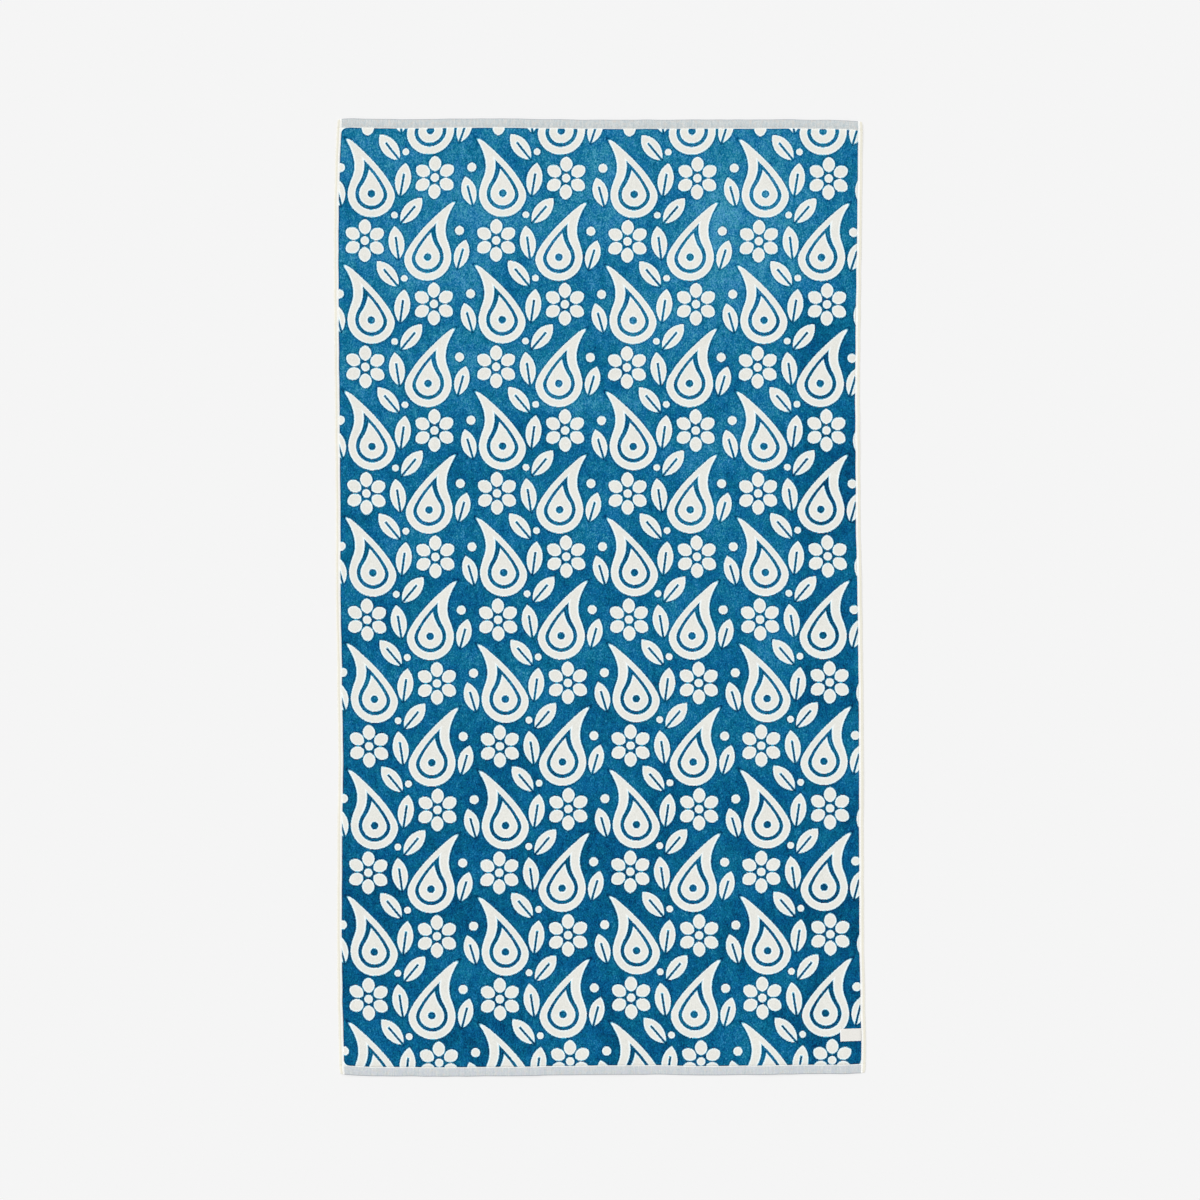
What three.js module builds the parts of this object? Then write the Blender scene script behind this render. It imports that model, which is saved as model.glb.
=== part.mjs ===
// A beach towel lying flat and face up: one woven cloth with its hems turned in, and a small
// folded label sewn into one side hem.
// Millimetres, +Z up. The origin is on the surface that the towel lies on, under the middle of
// its outline. +Y runs along its length, to the end that is further from the label.
import * as THREE from "three";

// Finished size, hem to hem, and the box that the slightly uneven outline fills as it lies
const FLAT_WIDTH = 949;
const FLAT_LENGTH = 1727;
const LAID_WIDTH = 962;
const LAID_LENGTH = 1731;

// Thicknesses, from the surface to the face of the cloth
const PILE_THICK = 3.2;
const END_HEM_THICK = 2.0;
const SIDE_HEM_THICK = 2.2;
const SEAM_THICK = 1.4;
const FOLD_HIGH = 1.5;
const FOLD_LOW = 0.5;

// Widths, inwards from the edge: the round of the fold, the hem, the stitched seam, the pile's shoulder
const END_HEM = { round: 0.9, hem: 15.7, seam: 17.0, shoulder: 19.4 };
const SIDE_HEM = { round: 0.9, hem: 7.8, seam: 9.0, shoulder: 11.4 };

// The pile field between the hems is cut into cells of about this size
const CELL_ACROSS = 34;
const CELL_ALONG = 33;

// How far each edge lies inside the laid box, at places along it, from low x or y to high
const LEFT_INSET = [
  { at: -866, inset: 11.0 },
  { at: -812, inset: 9.4 },
  { at: -727, inset: 7.0 },
  { at: -600, inset: 6.0 },
  { at: -450, inset: 6.8 },
  { at: -293, inset: 8.4 },
  { at: -150, inset: 6.4 },
  { at: 0, inset: 4.0 },
  { at: 140, inset: 3.6 },
  { at: 300, inset: 2.2 },
  { at: 465, inset: 1.1 },
  { at: 620, inset: 0.0 },
  { at: 700, inset: 0.4 },
  { at: 791, inset: 2.7 },
  { at: 866, inset: 6.4 },
];
const RIGHT_INSET = [
  { at: -866, inset: 0.8 },
  { at: -818, inset: 0.0 },
  { at: -727, inset: 1.7 },
  { at: -619, inset: 3.6 },
  { at: -400, inset: 4.3 },
  { at: -185, inset: 4.6 },
  { at: -77, inset: 5.8 },
  { at: 32, inset: 7.8 },
  { at: 140, inset: 10.0 },
  { at: 357, inset: 11.2 },
  { at: 465, inset: 10.5 },
  { at: 574, inset: 9.2 },
  { at: 682, inset: 7.4 },
  { at: 791, inset: 6.2 },
  { at: 866, inset: 6.0 },
];
const TOP_INSET = [
  { at: -481, inset: 1.8 },
  { at: -452, inset: 0.1 },
  { at: -362, inset: 1.8 },
  { at: -260, inset: 0.2 },
  { at: -181, inset: 0.0 },
  { at: -80, inset: 1.9 },
  { at: 45, inset: 2.6 },
  { at: 180, inset: 2.0 },
  { at: 361, inset: 2.0 },
  { at: 430, inset: 2.9 },
  { at: 481, inset: 5.4 },
];
const BOTTOM_INSET = [
  { at: -481, inset: 3.8 },
  { at: -416, inset: 0.7 },
  { at: -290, inset: 0.0 },
  { at: -181, inset: 0.7 },
  { at: -91, inset: 2.3 },
  { at: 20, inset: 3.9 },
  { at: 90, inset: 3.8 },
  { at: 190, inset: 2.2 },
  { at: 271, inset: 3.1 },
  { at: 361, inset: 4.7 },
  { at: 440, inset: 4.8 },
  { at: 481, inset: 6.6 },
];
const CORNER_TUCK = 1.4;

// Soft ripples where the cloth lifts off the surface. Each is an oval swell round x, y, turned
// anticlockwise from +X, and fades to nothing at its half length and half width.
const RIPPLES = [
  { x: -362, y: 866, turn: 90, long: 170, wide: 62, height: 2.2 },
  { x: -110, y: 866, turn: 96, long: 120, wide: 70, height: 1.8 },
  { x: 60, y: 870, turn: 84, long: 190, wide: 80, height: 2.2 },
  { x: 330, y: 866, turn: 92, long: 130, wide: 75, height: 1.9 },
  { x: 492, y: 880, turn: 35, long: 120, wide: 95, height: 2.8 },
  { x: -492, y: 876, turn: -38, long: 90, wide: 70, height: 2.2 },
  { x: -130, y: -866, turn: 88, long: 140, wide: 60, height: 1.8 },
  { x: 24, y: -870, turn: 95, long: 200, wide: 72, height: 2.2 },
  { x: 318, y: -866, turn: 86, long: 150, wide: 64, height: 2.0 },
  { x: -486, y: -872, turn: 40, long: 110, wide: 80, height: 2.4 },
  { x: 474, y: 300, turn: 4, long: 120, wide: 90, height: 2.4 },
  { x: 470, y: 20, turn: -6, long: 90, wide: 70, height: 1.6 },
  { x: 472, y: -330, turn: 5, long: 110, wide: 84, height: 2.0 },
  { x: -480, y: 470, turn: -4, long: 100, wide: 80, height: 2.0 },
  { x: -478, y: 60, turn: 6, long: 130, wide: 90, height: 2.4 },
  { x: -478, y: -420, turn: -5, long: 95, wide: 76, height: 1.8 },
  { x: 150, y: 520, turn: 64, long: 210, wide: 90, height: 1.8 },
  { x: -170, y: 230, turn: 18, long: 240, wide: 80, height: 1.5 },
  { x: 120, y: -180, turn: -24, long: 230, wide: 90, height: 1.7 },
  { x: -210, y: -520, turn: 40, long: 200, wide: 85, height: 1.6 },
];

// The label: woven tape folded double, its cut ends caught in the seam of the right hem
const LABEL = {
  y: -795,
  width: 22.5,
  length: 37.5,
  thick: 0.9,
  turn: 1.8,
  clear: 0.35,
  seam_clear: 1.0,
  climb: 1.6,
  flap_lift: 0.7,
};

const COLOURS = {
  blue_pile: 0x0e5c85,
  cream_tape: 0xe9e8e2,
};

const rad = THREE.MathUtils.degToRad;

// The value of one column of a table at a place, eased between its rows with no overshoot
function eased(table, at) {
  const after = table.findIndex((row) => row.at >= at);
  if (after === 0) return table[0].inset;
  if (after < 0) return table[table.length - 1].inset;
  const [low, high] = [table[after - 1], table[after]];
  const t = (at - low.at) / (high.at - low.at);
  return low.inset + (high.inset - low.inset) * t * t * (3 - 2 * t);
}

// How far the cloth is lifted off the surface
function lift(x, y) {
  let height = 0;
  for (const r of RIPPLES) {
    const c = Math.cos(rad(r.turn));
    const s = Math.sin(rad(r.turn));
    const along = ((x - r.x) * c + (y - r.y) * s) / r.long;
    const across = ((y - r.y) * c - (x - r.x) * s) / r.wide;
    const away = Math.min(1, Math.hypot(along, across));
    height = Math.max(height, r.height * Math.cos((Math.PI / 2) * away) ** 2);
  }
  return height;
}

// Where a point of the flat cloth lies, given from its lower left corner
function laid(across, along) {
  const u = across / FLAT_WIDTH;
  const v = along / FLAT_LENGTH;
  const straight_x = (u - 0.5) * LAID_WIDTH;
  const straight_y = (v - 0.5) * LAID_LENGTH;
  const left = -LAID_WIDTH / 2 + eased(LEFT_INSET, straight_y);
  const right = LAID_WIDTH / 2 - eased(RIGHT_INSET, straight_y);
  const bottom = -LAID_LENGTH / 2 + eased(BOTTOM_INSET, straight_x);
  const top = LAID_LENGTH / 2 - eased(TOP_INSET, straight_x);
  return [left + (right - left) * u, bottom + (top - bottom) * v];
}

// The face's height over its underside at a distance from an edge, across that edge's hem
function hemmed(from_edge, hem, hem_thick) {
  const profile = [
    [0, FOLD_HIGH],
    [hem.round, hem_thick],
    [hem.hem, hem_thick],
    [hem.seam, SEAM_THICK],
    [hem.shoulder, PILE_THICK],
  ];
  for (let i = 1; i < profile.length; i += 1) {
    const [a, low] = profile[i - 1];
    const [b, high] = profile[i];
    if (from_edge <= b) return low + ((high - low) * (from_edge - a)) / (b - a);
  }
  return PILE_THICK;
}

// Grid lines along one side of the flat cloth: both hems' own lines, and even cells between them
function stations(length, hem, cell) {
  const near = [0, hem.round, hem.hem, hem.seam, hem.shoulder];
  const cells = Math.round((length - 2 * hem.shoulder) / cell);
  const step = (length - 2 * hem.shoulder) / cells;
  const middle = Array.from({ length: cells - 1 }, (_, i) => hem.shoulder + step * (i + 1));
  const far = near.map((d) => length - d).reverse();
  return [...near, ...middle, ...far];
}

// One closed sheet from its face and its underside, which share a grid
function sheetGeometry(columns, rows, facePoint, backPoint) {
  const points = [];
  for (const point of [facePoint, backPoint]) {
    for (const along of rows) {
      for (const across of columns) points.push(...point(across, along));
    }
  }
  const wide = columns.length;
  const high = rows.length;
  const back = wide * high;
  const index = [];
  const quad = (a, b, c, d) => index.push(a, b, c, a, c, d);
  for (let j = 0; j + 1 < high; j += 1) {
    for (let i = 0; i + 1 < wide; i += 1) {
      const a = j * wide + i;
      quad(a, a + 1, a + wide + 1, a + wide);
      quad(back + a, back + a + wide, back + a + wide + 1, back + a + 1);
    }
  }
  for (let i = 0; i + 1 < wide; i += 1) {
    const top = (high - 1) * wide + i;
    quad(back + i, back + i + 1, i + 1, i);
    quad(top, top + 1, back + top + 1, back + top);
  }
  for (let j = 0; j + 1 < high; j += 1) {
    const left = j * wide;
    const right = left + wide - 1;
    quad(left, left + wide, back + left + wide, back + left);
    quad(back + right, back + right + wide, right + wide, right);
  }
  const geometry = new THREE.BufferGeometry();
  geometry.setAttribute("position", new THREE.Float32BufferAttribute(points, 3));
  geometry.setIndex(index);
  geometry.computeVertexNormals();
  return geometry;
}

function towel() {
  const fromEnd = (along) => Math.min(along, FLAT_LENGTH - along);
  const fromSide = (across) => Math.min(across, FLAT_WIDTH - across);
  const atEdge = (across, along) => Math.min(fromEnd(along), fromSide(across)) === 0;

  // Corners are turned in a little, where the two hems fold over each other
  const place = (across, along) => {
    const [x, y] = laid(across, along);
    const corner = fromEnd(along) === 0 && fromSide(across) === 0;
    const tuck = corner ? CORNER_TUCK : 0;
    return [x - Math.sign(x) * tuck, y - Math.sign(y) * tuck];
  };
  const facePoint = (across, along) => {
    const [x, y] = place(across, along);
    const thick = Math.min(
      hemmed(fromEnd(along), END_HEM, END_HEM_THICK),
      hemmed(fromSide(across), SIDE_HEM, SIDE_HEM_THICK),
    );
    return [x, y, lift(x, y) + thick];
  };
  const backPoint = (across, along) => {
    const [x, y] = place(across, along);
    return [x, y, lift(x, y) + (atEdge(across, along) ? FOLD_LOW : 0)];
  };
  const columns = stations(FLAT_WIDTH, SIDE_HEM, CELL_ACROSS);
  const rows = stations(FLAT_LENGTH, END_HEM, CELL_ALONG);
  const mesh = new THREE.Mesh(
    sheetGeometry(columns, rows, facePoint, backPoint),
    new THREE.MeshStandardMaterial({ color: COLOURS.blue_pile, roughness: 0.95, metalness: 0 }),
  );
  mesh.name = "towel";
  return mesh;
}

// The tape climbs from the seam over the pile's shoulder, lies on the pile, and its fold stands up a little
function label() {
  const seam_z = SEAM_THICK + LABEL.seam_clear;
  const pile_z = PILE_THICK + LABEL.clear;
  const under = [
    [0, seam_z],
    [LABEL.climb, pile_z],
    [LABEL.length * 0.6, pile_z],
    [LABEL.length, pile_z + LABEL.flap_lift],
  ];
  const over = under.map(([x, z]) => [x, z + LABEL.thick]).reverse();
  const side = new THREE.Shape([...under, ...over].map(([x, z]) => new THREE.Vector2(-x, z)));
  const geometry = new THREE.ExtrudeGeometry(side, { depth: LABEL.width, bevelEnabled: false });
  geometry.translate(0, 0, -LABEL.width / 2);
  geometry.rotateX(Math.PI / 2);
  const mesh = new THREE.Mesh(
    geometry,
    new THREE.MeshStandardMaterial({ color: COLOURS.cream_tape, roughness: 0.8, metalness: 0 }),
  );
  mesh.name = "label";
  const along = (LABEL.y / LAID_LENGTH + 0.5) * FLAT_LENGTH;
  const [x, y] = laid(FLAT_WIDTH - SIDE_HEM.seam - LABEL.clear, along);
  mesh.position.set(x, y, 0);
  mesh.rotation.z = rad(LABEL.turn);
  return mesh;
}

const beachTowel = new THREE.Group();
beachTowel.add(towel(), label());
export default beachTowel;
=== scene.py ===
"""A beach towel of cut-pile jacquard cotton, lying flat and face up on a pale floor."""

import math

import bpy
import numpy as np
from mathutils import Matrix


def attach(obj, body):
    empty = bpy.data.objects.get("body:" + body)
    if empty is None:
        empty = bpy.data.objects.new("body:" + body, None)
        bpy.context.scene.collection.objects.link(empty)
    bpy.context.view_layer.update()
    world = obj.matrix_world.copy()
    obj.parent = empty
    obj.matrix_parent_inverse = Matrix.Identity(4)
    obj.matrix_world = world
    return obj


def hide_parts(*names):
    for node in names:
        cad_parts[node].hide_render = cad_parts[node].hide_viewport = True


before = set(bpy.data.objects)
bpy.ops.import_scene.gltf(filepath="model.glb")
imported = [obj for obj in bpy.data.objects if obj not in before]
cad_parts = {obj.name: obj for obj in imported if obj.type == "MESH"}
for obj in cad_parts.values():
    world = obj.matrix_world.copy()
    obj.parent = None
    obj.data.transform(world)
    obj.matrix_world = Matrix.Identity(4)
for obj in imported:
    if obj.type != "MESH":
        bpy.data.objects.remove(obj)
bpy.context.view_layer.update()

# Sizes are in millimetres, as the cloth is measured, and MM turns them into Blender's metres
MM = 0.001
FLAT_WIDTH = 949.0
FLAT_LENGTH = 1727.0
LAID_WIDTH = 962.0
LAID_LENGTH = 1731.0
END_HEM_EDGE = 16.7
SIDE_HEM_EDGE = 8.5
LABEL_WIDTH = 22.5
LABEL_LENGTH = 38.5


def dyed(red, green, blue, clear=1.0):
    """A colour named as a screen shows it, from 0 to 255, as the shaders take it."""
    parts = [c / 255 for c in (red, green, blue)]
    return (*(c / 12.92 if c <= 0.04045 else ((c + 0.055) / 1.055) ** 2.4 for c in parts), clear)


def new_object(name, data):
    """An object in the scene, for a mesh, a camera or a lamp."""
    thing = bpy.data.objects.new(name, data)
    bpy.context.scene.collection.objects.link(thing)
    return thing


# Camera, straight above, framed as the photograph is
PHOTO_SIDE_PX = 1200
MM_PER_PX = 1.8073
VIEW_CENTRE = (0.2, -4.5)
LENS = 85.0
FILM = 36.0
CLIP_END = 100


def overhead_camera():
    """The camera, at the height from which its lens takes in the photograph's frame."""
    data = bpy.data.cameras.new("overhead_camera")
    data.lens = LENS
    data.sensor_width = FILM
    data.clip_end = CLIP_END
    camera = new_object("overhead_camera", data)
    height = PHOTO_SIDE_PX * MM_PER_PX * LENS / FILM
    camera.location = (VIEW_CENTRE[0] * MM, VIEW_CENTRE[1] * MM, height * MM)
    bpy.context.scene.camera = camera


# Small helpers for meshes and shader nodes
def piece_from(name, points, faces, materials, face_materials=None, smooth=True):
    """A mesh object, with its points given in millimetres."""
    mesh = bpy.data.meshes.new(name)
    mesh.from_pydata((np.asarray(points) * MM).tolist(), [], faces)
    for material in materials:
        mesh.materials.append(material)
    if face_materials is not None:
        mesh.polygons.foreach_set("material_index", np.asarray(face_materials, dtype=np.int32))
    mesh.polygons.foreach_set("use_smooth", np.full(len(mesh.polygons), smooth))
    mesh.update()
    return new_object(name, mesh)


def feed(tree, value, socket):
    """Links a socket to another, or sets the number or colour that it holds."""
    if isinstance(value, bpy.types.NodeSocket):
        tree.links.new(value, socket)
    else:
        socket.default_value = value


def put(tree, kind, inputs=(), **settings):
    """A new shader node with its settings and inputs."""
    node = tree.nodes.new("ShaderNode" + kind)
    for name, value in settings.items():
        setattr(node, name, value)
    for key, value in dict(inputs).items():
        feed(tree, value, node.inputs[key])
    return node


def maths(tree, operation, *values, clamp=False):
    """A number from a Math node."""
    return put(tree, "Math", enumerate(values), operation=operation, use_clamp=clamp).outputs[0]


def vectors(tree, operation, *values):
    """A vector from a Vector Math node, or a number from one that measures."""
    node = put(tree, "VectorMath", enumerate(values), operation=operation)
    plain = operation in ("LENGTH", "DISTANCE", "DOT_PRODUCT")
    return node.outputs["Value" if plain else "Vector"]


def scaled(tree, vector, factor):
    """A vector or colour times a number."""
    node = put(tree, "VectorMath", {0: vector, "Scale": factor}, operation="SCALE")
    return node.outputs["Vector"]


def axes(tree, vector):
    """The X, Y and Z of a vector."""
    return put(tree, "SeparateXYZ", {0: vector}).outputs


def least(tree, values):
    """The smallest of several numbers."""
    found = values[0]
    for value in values[1:]:
        found = maths(tree, "MINIMUM", found, value)
    return found


def eased_range(tree, value, low, high, to_low=0.0, to_high=1.0):
    """A number taken smoothly from one range into another, and held at its ends."""
    inputs = {"Value": value, "From Min": low, "From Max": high, "To Min": to_low, "To Max": to_high}
    return put(tree, "MapRange", inputs, interpolation_type="SMOOTHSTEP").outputs["Result"]


def blended(tree, factor, first, second, blend="MIX"):
    """One colour mixed into another."""
    inputs = {0: factor, 6: first, 7: second}
    return put(tree, "Mix", inputs, data_type="RGBA", blend_type=blend).outputs[2]


def noise(tree, place, size, detail=2.0, roughness=0.5):
    """Soft noise from 0 to 1, with features of about this size in millimetres."""
    inputs = {"Vector": place, "Scale": 1.0 / size, "Detail": detail, "Roughness": roughness}
    return put(tree, "TexNoise", inputs).outputs[0]


def patches(tree, place, kind):
    """Soft patches, from 0 between them to their strength: (size, detail, roughness, from, to, strength)."""
    size, detail, roughness, low, high, strength = kind
    return eased_range(tree, noise(tree, place, size, detail, roughness), low, high, 0.0, strength)


def speckle(tree, place):
    """A different number from 0 to 1 at each place."""
    return put(tree, "TexWhiteNoise", {"Vector": place}).outputs["Value"]


def new_group(name, takes, gives):
    """A node group with named inputs and outputs, given as pairs of a name and a kind."""
    tree = bpy.data.node_groups.new(name, "ShaderNodeTree")
    for socket, kind in takes:
        tree.interface.new_socket(socket, in_out="INPUT", socket_type="NodeSocket" + kind)
    for socket, kind in gives:
        tree.interface.new_socket(socket, in_out="OUTPUT", socket_type="NodeSocket" + kind)
    ins = tree.nodes.new("NodeGroupInput").outputs
    outs = tree.nodes.new("NodeGroupOutput").inputs
    return tree, ins, outs


def placed(tree, group, inputs):
    """A node group set into another tree."""
    return put(tree, "Group", inputs, node_tree=group).outputs


def new_material(name, **surface):
    """A material with its shader, whose plain values are set by socket name."""
    material = bpy.data.materials.new(name)
    material.use_nodes = True
    tree = material.node_tree
    shader = tree.nodes["Principled BSDF"]
    for socket, value in surface.items():
        shader.inputs[socket.replace("_", " ")].default_value = value
    return material, tree, shader


def finished(tree, shader, colour, height, strength, depth):
    """Gives a shader its colour and its fine relief, whose depth is in millimetres."""
    feed(tree, colour, shader.inputs["Base Color"])
    inputs = {"Height": height, "Strength": strength, "Distance": depth * MM}
    feed(tree, put(tree, "Bump", inputs).outputs[0], shader.inputs["Normal"])


def cloth_place(tree):
    """Where a point lies on the flat cloth, in millimetres from its lower left corner."""
    return put(tree, "Attribute", attribute_name="cloth_mm").outputs["Vector"]


# The design: paisleys, flowers, leaves and berries in columns. Each next column is a mirror image,
# dropped by half a repeat.
COLUMN = 118.0
REPEAT = 228.0
DESIGN_START = (59.0, 34.0, 0.0)
WEAVE_STEP = (1.1, 1.7, 1.0)
TUFT_LEAN = (3.2, 3.6, 0.0)
TUFT_FUZZ = {"Scale": 0.8, "Detail": 2.0, "Roughness": 0.6}

PAISLEY = {"x": 8, "y": -38, "turn": -14, "body": 43.0, "tip": 9.0, "long": 76.0, "bend": 0.0096}
PAISLEY_RIM = 14.5
PAISLEY_CORE = 20.5
PAISLEY_EYE = 6.5
PAISLEY_EASE = 0.6

FLOWER = {"x": -3, "y": 105, "petals": 6, "from": 11.0, "long": 14.0, "wide": 11.4, "eye": 8.0}

LEAVES = [
    {"x": 64, "y": -12, "turn": -8, "long": 31, "wide": 14.5},
    {"x": 38, "y": 46, "turn": 40, "long": 30, "wide": 14.5},
    {"x": -53, "y": -34, "turn": 16, "long": 28, "wide": 13.5},
]
LEAF_VEIN = 1.7
LEAF_VEIN_REACH = 0.35
NO_VEIN = -50.0

BERRIES = [
    {"x": -49, "y": 9, "radius": 8.5},
    {"x": 68, "y": 38, "radius": 6.5},
]

PILE_CORNER_RADIUS = 11.0
PILE_CORNER = (SIDE_HEM_EDGE + PILE_CORNER_RADIUS, FLAT_LENGTH / 2 - END_HEM_EDGE - PILE_CORNER_RADIUS)


def leaf_shape():
    """A pointed oval along Y, with a vein up from its stalk. The distance is negative inside."""
    takes = [("Place", "Vector"), ("Half Length", "Float"), ("Half Width", "Float"), ("Vein", "Float")]
    tree, ins, outs = new_group("leaf_shape", takes, [("Distance", "Float")])
    long, wide = ins["Half Length"], ins["Half Width"]
    place = axes(tree, ins["Place"])
    aside = maths(tree, "ABSOLUTE", place["X"])
    squares = maths(tree, "ADD", maths(tree, "MULTIPLY", long, long), maths(tree, "MULTIPLY", wide, wide))
    arc = maths(tree, "DIVIDE", squares, maths(tree, "MULTIPLY", wide, 2.0))
    from_centre = maths(tree, "ADD", aside, maths(tree, "SUBTRACT", arc, wide))
    arm = put(tree, "CombineXYZ", {"X": from_centre, "Y": place["Y"]}).outputs[0]
    oval = maths(tree, "SUBTRACT", vectors(tree, "LENGTH", arm), arc)
    up = maths(tree, "ABSOLUTE", maths(tree, "MULTIPLY_ADD", long, LEAF_VEIN_REACH, place["Y"]))
    vein_end = maths(tree, "MULTIPLY_ADD", long, -2 * LEAF_VEIN_REACH, up)
    vein = maths(tree, "MAXIMUM", maths(tree, "SUBTRACT", aside, ins["Vein"]), vein_end)
    feed(tree, maths(tree, "MAXIMUM", oval, maths(tree, "MULTIPLY", vein, -1.0)), outs["Distance"])
    return tree


def flower_shape(leaf):
    """Petals round an eye."""
    tree, ins, outs = new_group("flower_shape", [("Place", "Vector")], [("Distance", "Float")])
    place = axes(tree, ins["Place"])
    sector = 2 * math.pi / FLOWER["petals"]
    around = maths(tree, "ADD", maths(tree, "ARCTAN2", place["X"], place["Y"]), sector / 2)
    turn = maths(tree, "SNAP", around, sector)
    spun = {"Vector": ins["Place"], "Angle": turn}
    spun = put(tree, "VectorRotate", spun, rotation_type="Z_AXIS").outputs[0]
    middle = (0, FLOWER["from"] + FLOWER["long"], 0)
    petal = {
        "Place": vectors(tree, "SUBTRACT", spun, middle),
        "Half Length": FLOWER["long"],
        "Half Width": FLOWER["wide"],
        "Vein": NO_VEIN,
    }
    petal = placed(tree, leaf, petal)["Distance"]
    eye = maths(tree, "SUBTRACT", vectors(tree, "LENGTH", ins["Place"]), FLOWER["eye"])
    feed(tree, maths(tree, "MINIMUM", petal, eye), outs["Distance"])
    return tree


def paisley_shape():
    """A drop with a bent tail: a cream rim, a blue band, and a cream core with an eye."""
    tree, ins, outs = new_group("paisley_shape", [("Place", "Vector")], [("Distance", "Float")])
    body, tip, long, bend = (PAISLEY[key] for key in ("body", "tip", "long", "bend"))
    place = axes(tree, ins["Place"])
    up = maths(tree, "MAXIMUM", place["Y"], 0.0)
    bent = maths(tree, "MULTIPLY", maths(tree, "MULTIPLY", up, up), bend)
    aside = maths(tree, "ABSOLUTE", maths(tree, "ADD", place["X"], bent))

    # The nearest point of the drop's middle line, as a share of its length, gives the drop's radius there
    taper = (body - tip) / long
    lean = taper / math.sqrt(1 - taper**2)
    share = maths(tree, "MULTIPLY_ADD", aside, -lean, place["Y"])
    share = maths(tree, "DIVIDE", share, long, clamp=True)
    above = maths(tree, "MULTIPLY_ADD", share, -long, place["Y"])
    arm = put(tree, "CombineXYZ", {"X": aside, "Y": above}).outputs[0]
    radius = maths(tree, "MULTIPLY_ADD", share, tip - body, body)
    whole = maths(tree, "SUBTRACT", vectors(tree, "LENGTH", arm), radius)

    # Bending brings the tail's sides nearer to each other, and the distance follows
    steep = maths(tree, "MULTIPLY", up, 2 * bend * math.sqrt(PAISLEY_EASE))
    steep = maths(tree, "MULTIPLY_ADD", steep, steep, 1.0)
    whole = maths(tree, "DIVIDE", whole, maths(tree, "SQRT", steep))

    within = maths(tree, "ADD", whole, PAISLEY_RIM)
    rim = maths(tree, "MAXIMUM", whole, maths(tree, "MULTIPLY", within, -1.0))
    eye = maths(tree, "SUBTRACT", PAISLEY_EYE, vectors(tree, "LENGTH", ins["Place"]))
    core = maths(tree, "MAXIMUM", maths(tree, "ADD", whole, PAISLEY_CORE), eye)
    feed(tree, maths(tree, "MINIMUM", rim, core), outs["Distance"])
    return tree


def motif_columns(leaf, flower, paisley):
    """Every other column of motifs, repeated across and along the cloth."""
    tree, ins, outs = new_group("motif_columns", [("Place", "Vector")], [("Distance", "Float")])

    def local(motif):
        x, y = motif["x"], motif["y"]
        low = (x - COLUMN, y - REPEAT / 2, 0)
        high = (x + COLUMN, y + REPEAT / 2, 0)
        near = vectors(tree, "WRAP", ins["Place"], high, low)
        turn = (0, 0, math.radians(motif.get("turn", 0)))
        inputs = {"Vector": near, "Location": (x, y, 0), "Rotation": turn}
        return put(tree, "Mapping", inputs, vector_type="TEXTURE").outputs[0]

    found = [placed(tree, paisley, {"Place": local(PAISLEY)})["Distance"]]
    found.append(placed(tree, flower, {"Place": local(FLOWER)})["Distance"])
    for motif in LEAVES:
        inputs = {
            "Place": local(motif),
            "Half Length": motif["long"],
            "Half Width": motif["wide"],
            "Vein": LEAF_VEIN,
        }
        found.append(placed(tree, leaf, inputs)["Distance"])
    for motif in BERRIES:
        away = vectors(tree, "LENGTH", local(motif))
        found.append(maths(tree, "SUBTRACT", away, motif["radius"]))
    feed(tree, least(tree, found), outs["Distance"])
    return tree


def jacquard_design():
    """The design in the loom's small steps: distance to a cream motif's edge, and each tuft's place."""
    leaf = leaf_shape()
    columns = motif_columns(leaf, flower_shape(leaf), paisley_shape())
    gives = [("Distance", "Float"), ("Tuft", "Vector")]
    tree, ins, outs = new_group("jacquard_design", [("Place", "Vector")], gives)

    # Cut tufts open out and lean over each other, so no edge between them is straight
    fuzz = put(tree, "TexNoise", {"Vector": ins["Place"], **TUFT_FUZZ})
    lean = vectors(tree, "MULTIPLY_ADD", fuzz.outputs["Color"], TUFT_LEAN, [-0.5 * x for x in TUFT_LEAN])
    corner = vectors(tree, "SNAP", vectors(tree, "ADD", ins["Place"], lean), WEAVE_STEP)
    tuft = vectors(tree, "ADD", corner, (WEAVE_STEP[0] / 2, WEAVE_STEP[1] / 2, 0))
    straight = vectors(tree, "SUBTRACT", tuft, DESIGN_START)
    mirrored = vectors(tree, "MULTIPLY_ADD", straight, (-1, 1, 1), (COLUMN, REPEAT / 2, 0))
    both = [placed(tree, columns, {"Place": p})["Distance"] for p in (straight, mirrored)]
    feed(tree, least(tree, both), outs["Distance"])
    feed(tree, tuft, outs["Tuft"])
    return tree


# Layers of the brushed nap, as noise, for its painted sheen and shade and its tufts' own tone: (size,
# heading, stretch, detail, strength)
BROAD_PATCHES = (60.0, 15, 1.8, 2.0, 0.28)
PATCHES = (22.0, -25, 1.6, 2.0, 0.33)
STROKES = (11.0, 35, 2.0, 2.0, 0.42)
DABS = (6.0, -20, 1.6, 2.0, 0.38)
FINE_NAP = (2.6, 10, 1.3, 1.0, 0.8)
NAP_ROUGHNESS = 0.6

# How much tufts differ in tone and in dye, and the batches that differ in dye
TUFT_TONES = 0.36
TUFT_DYES = 0.9
OTHER_DRAW = (0, 0, 5)
DYE_BATCHES = (60.0, 5.0, 1.0, 0.4, 0.6, 1.0)


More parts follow.
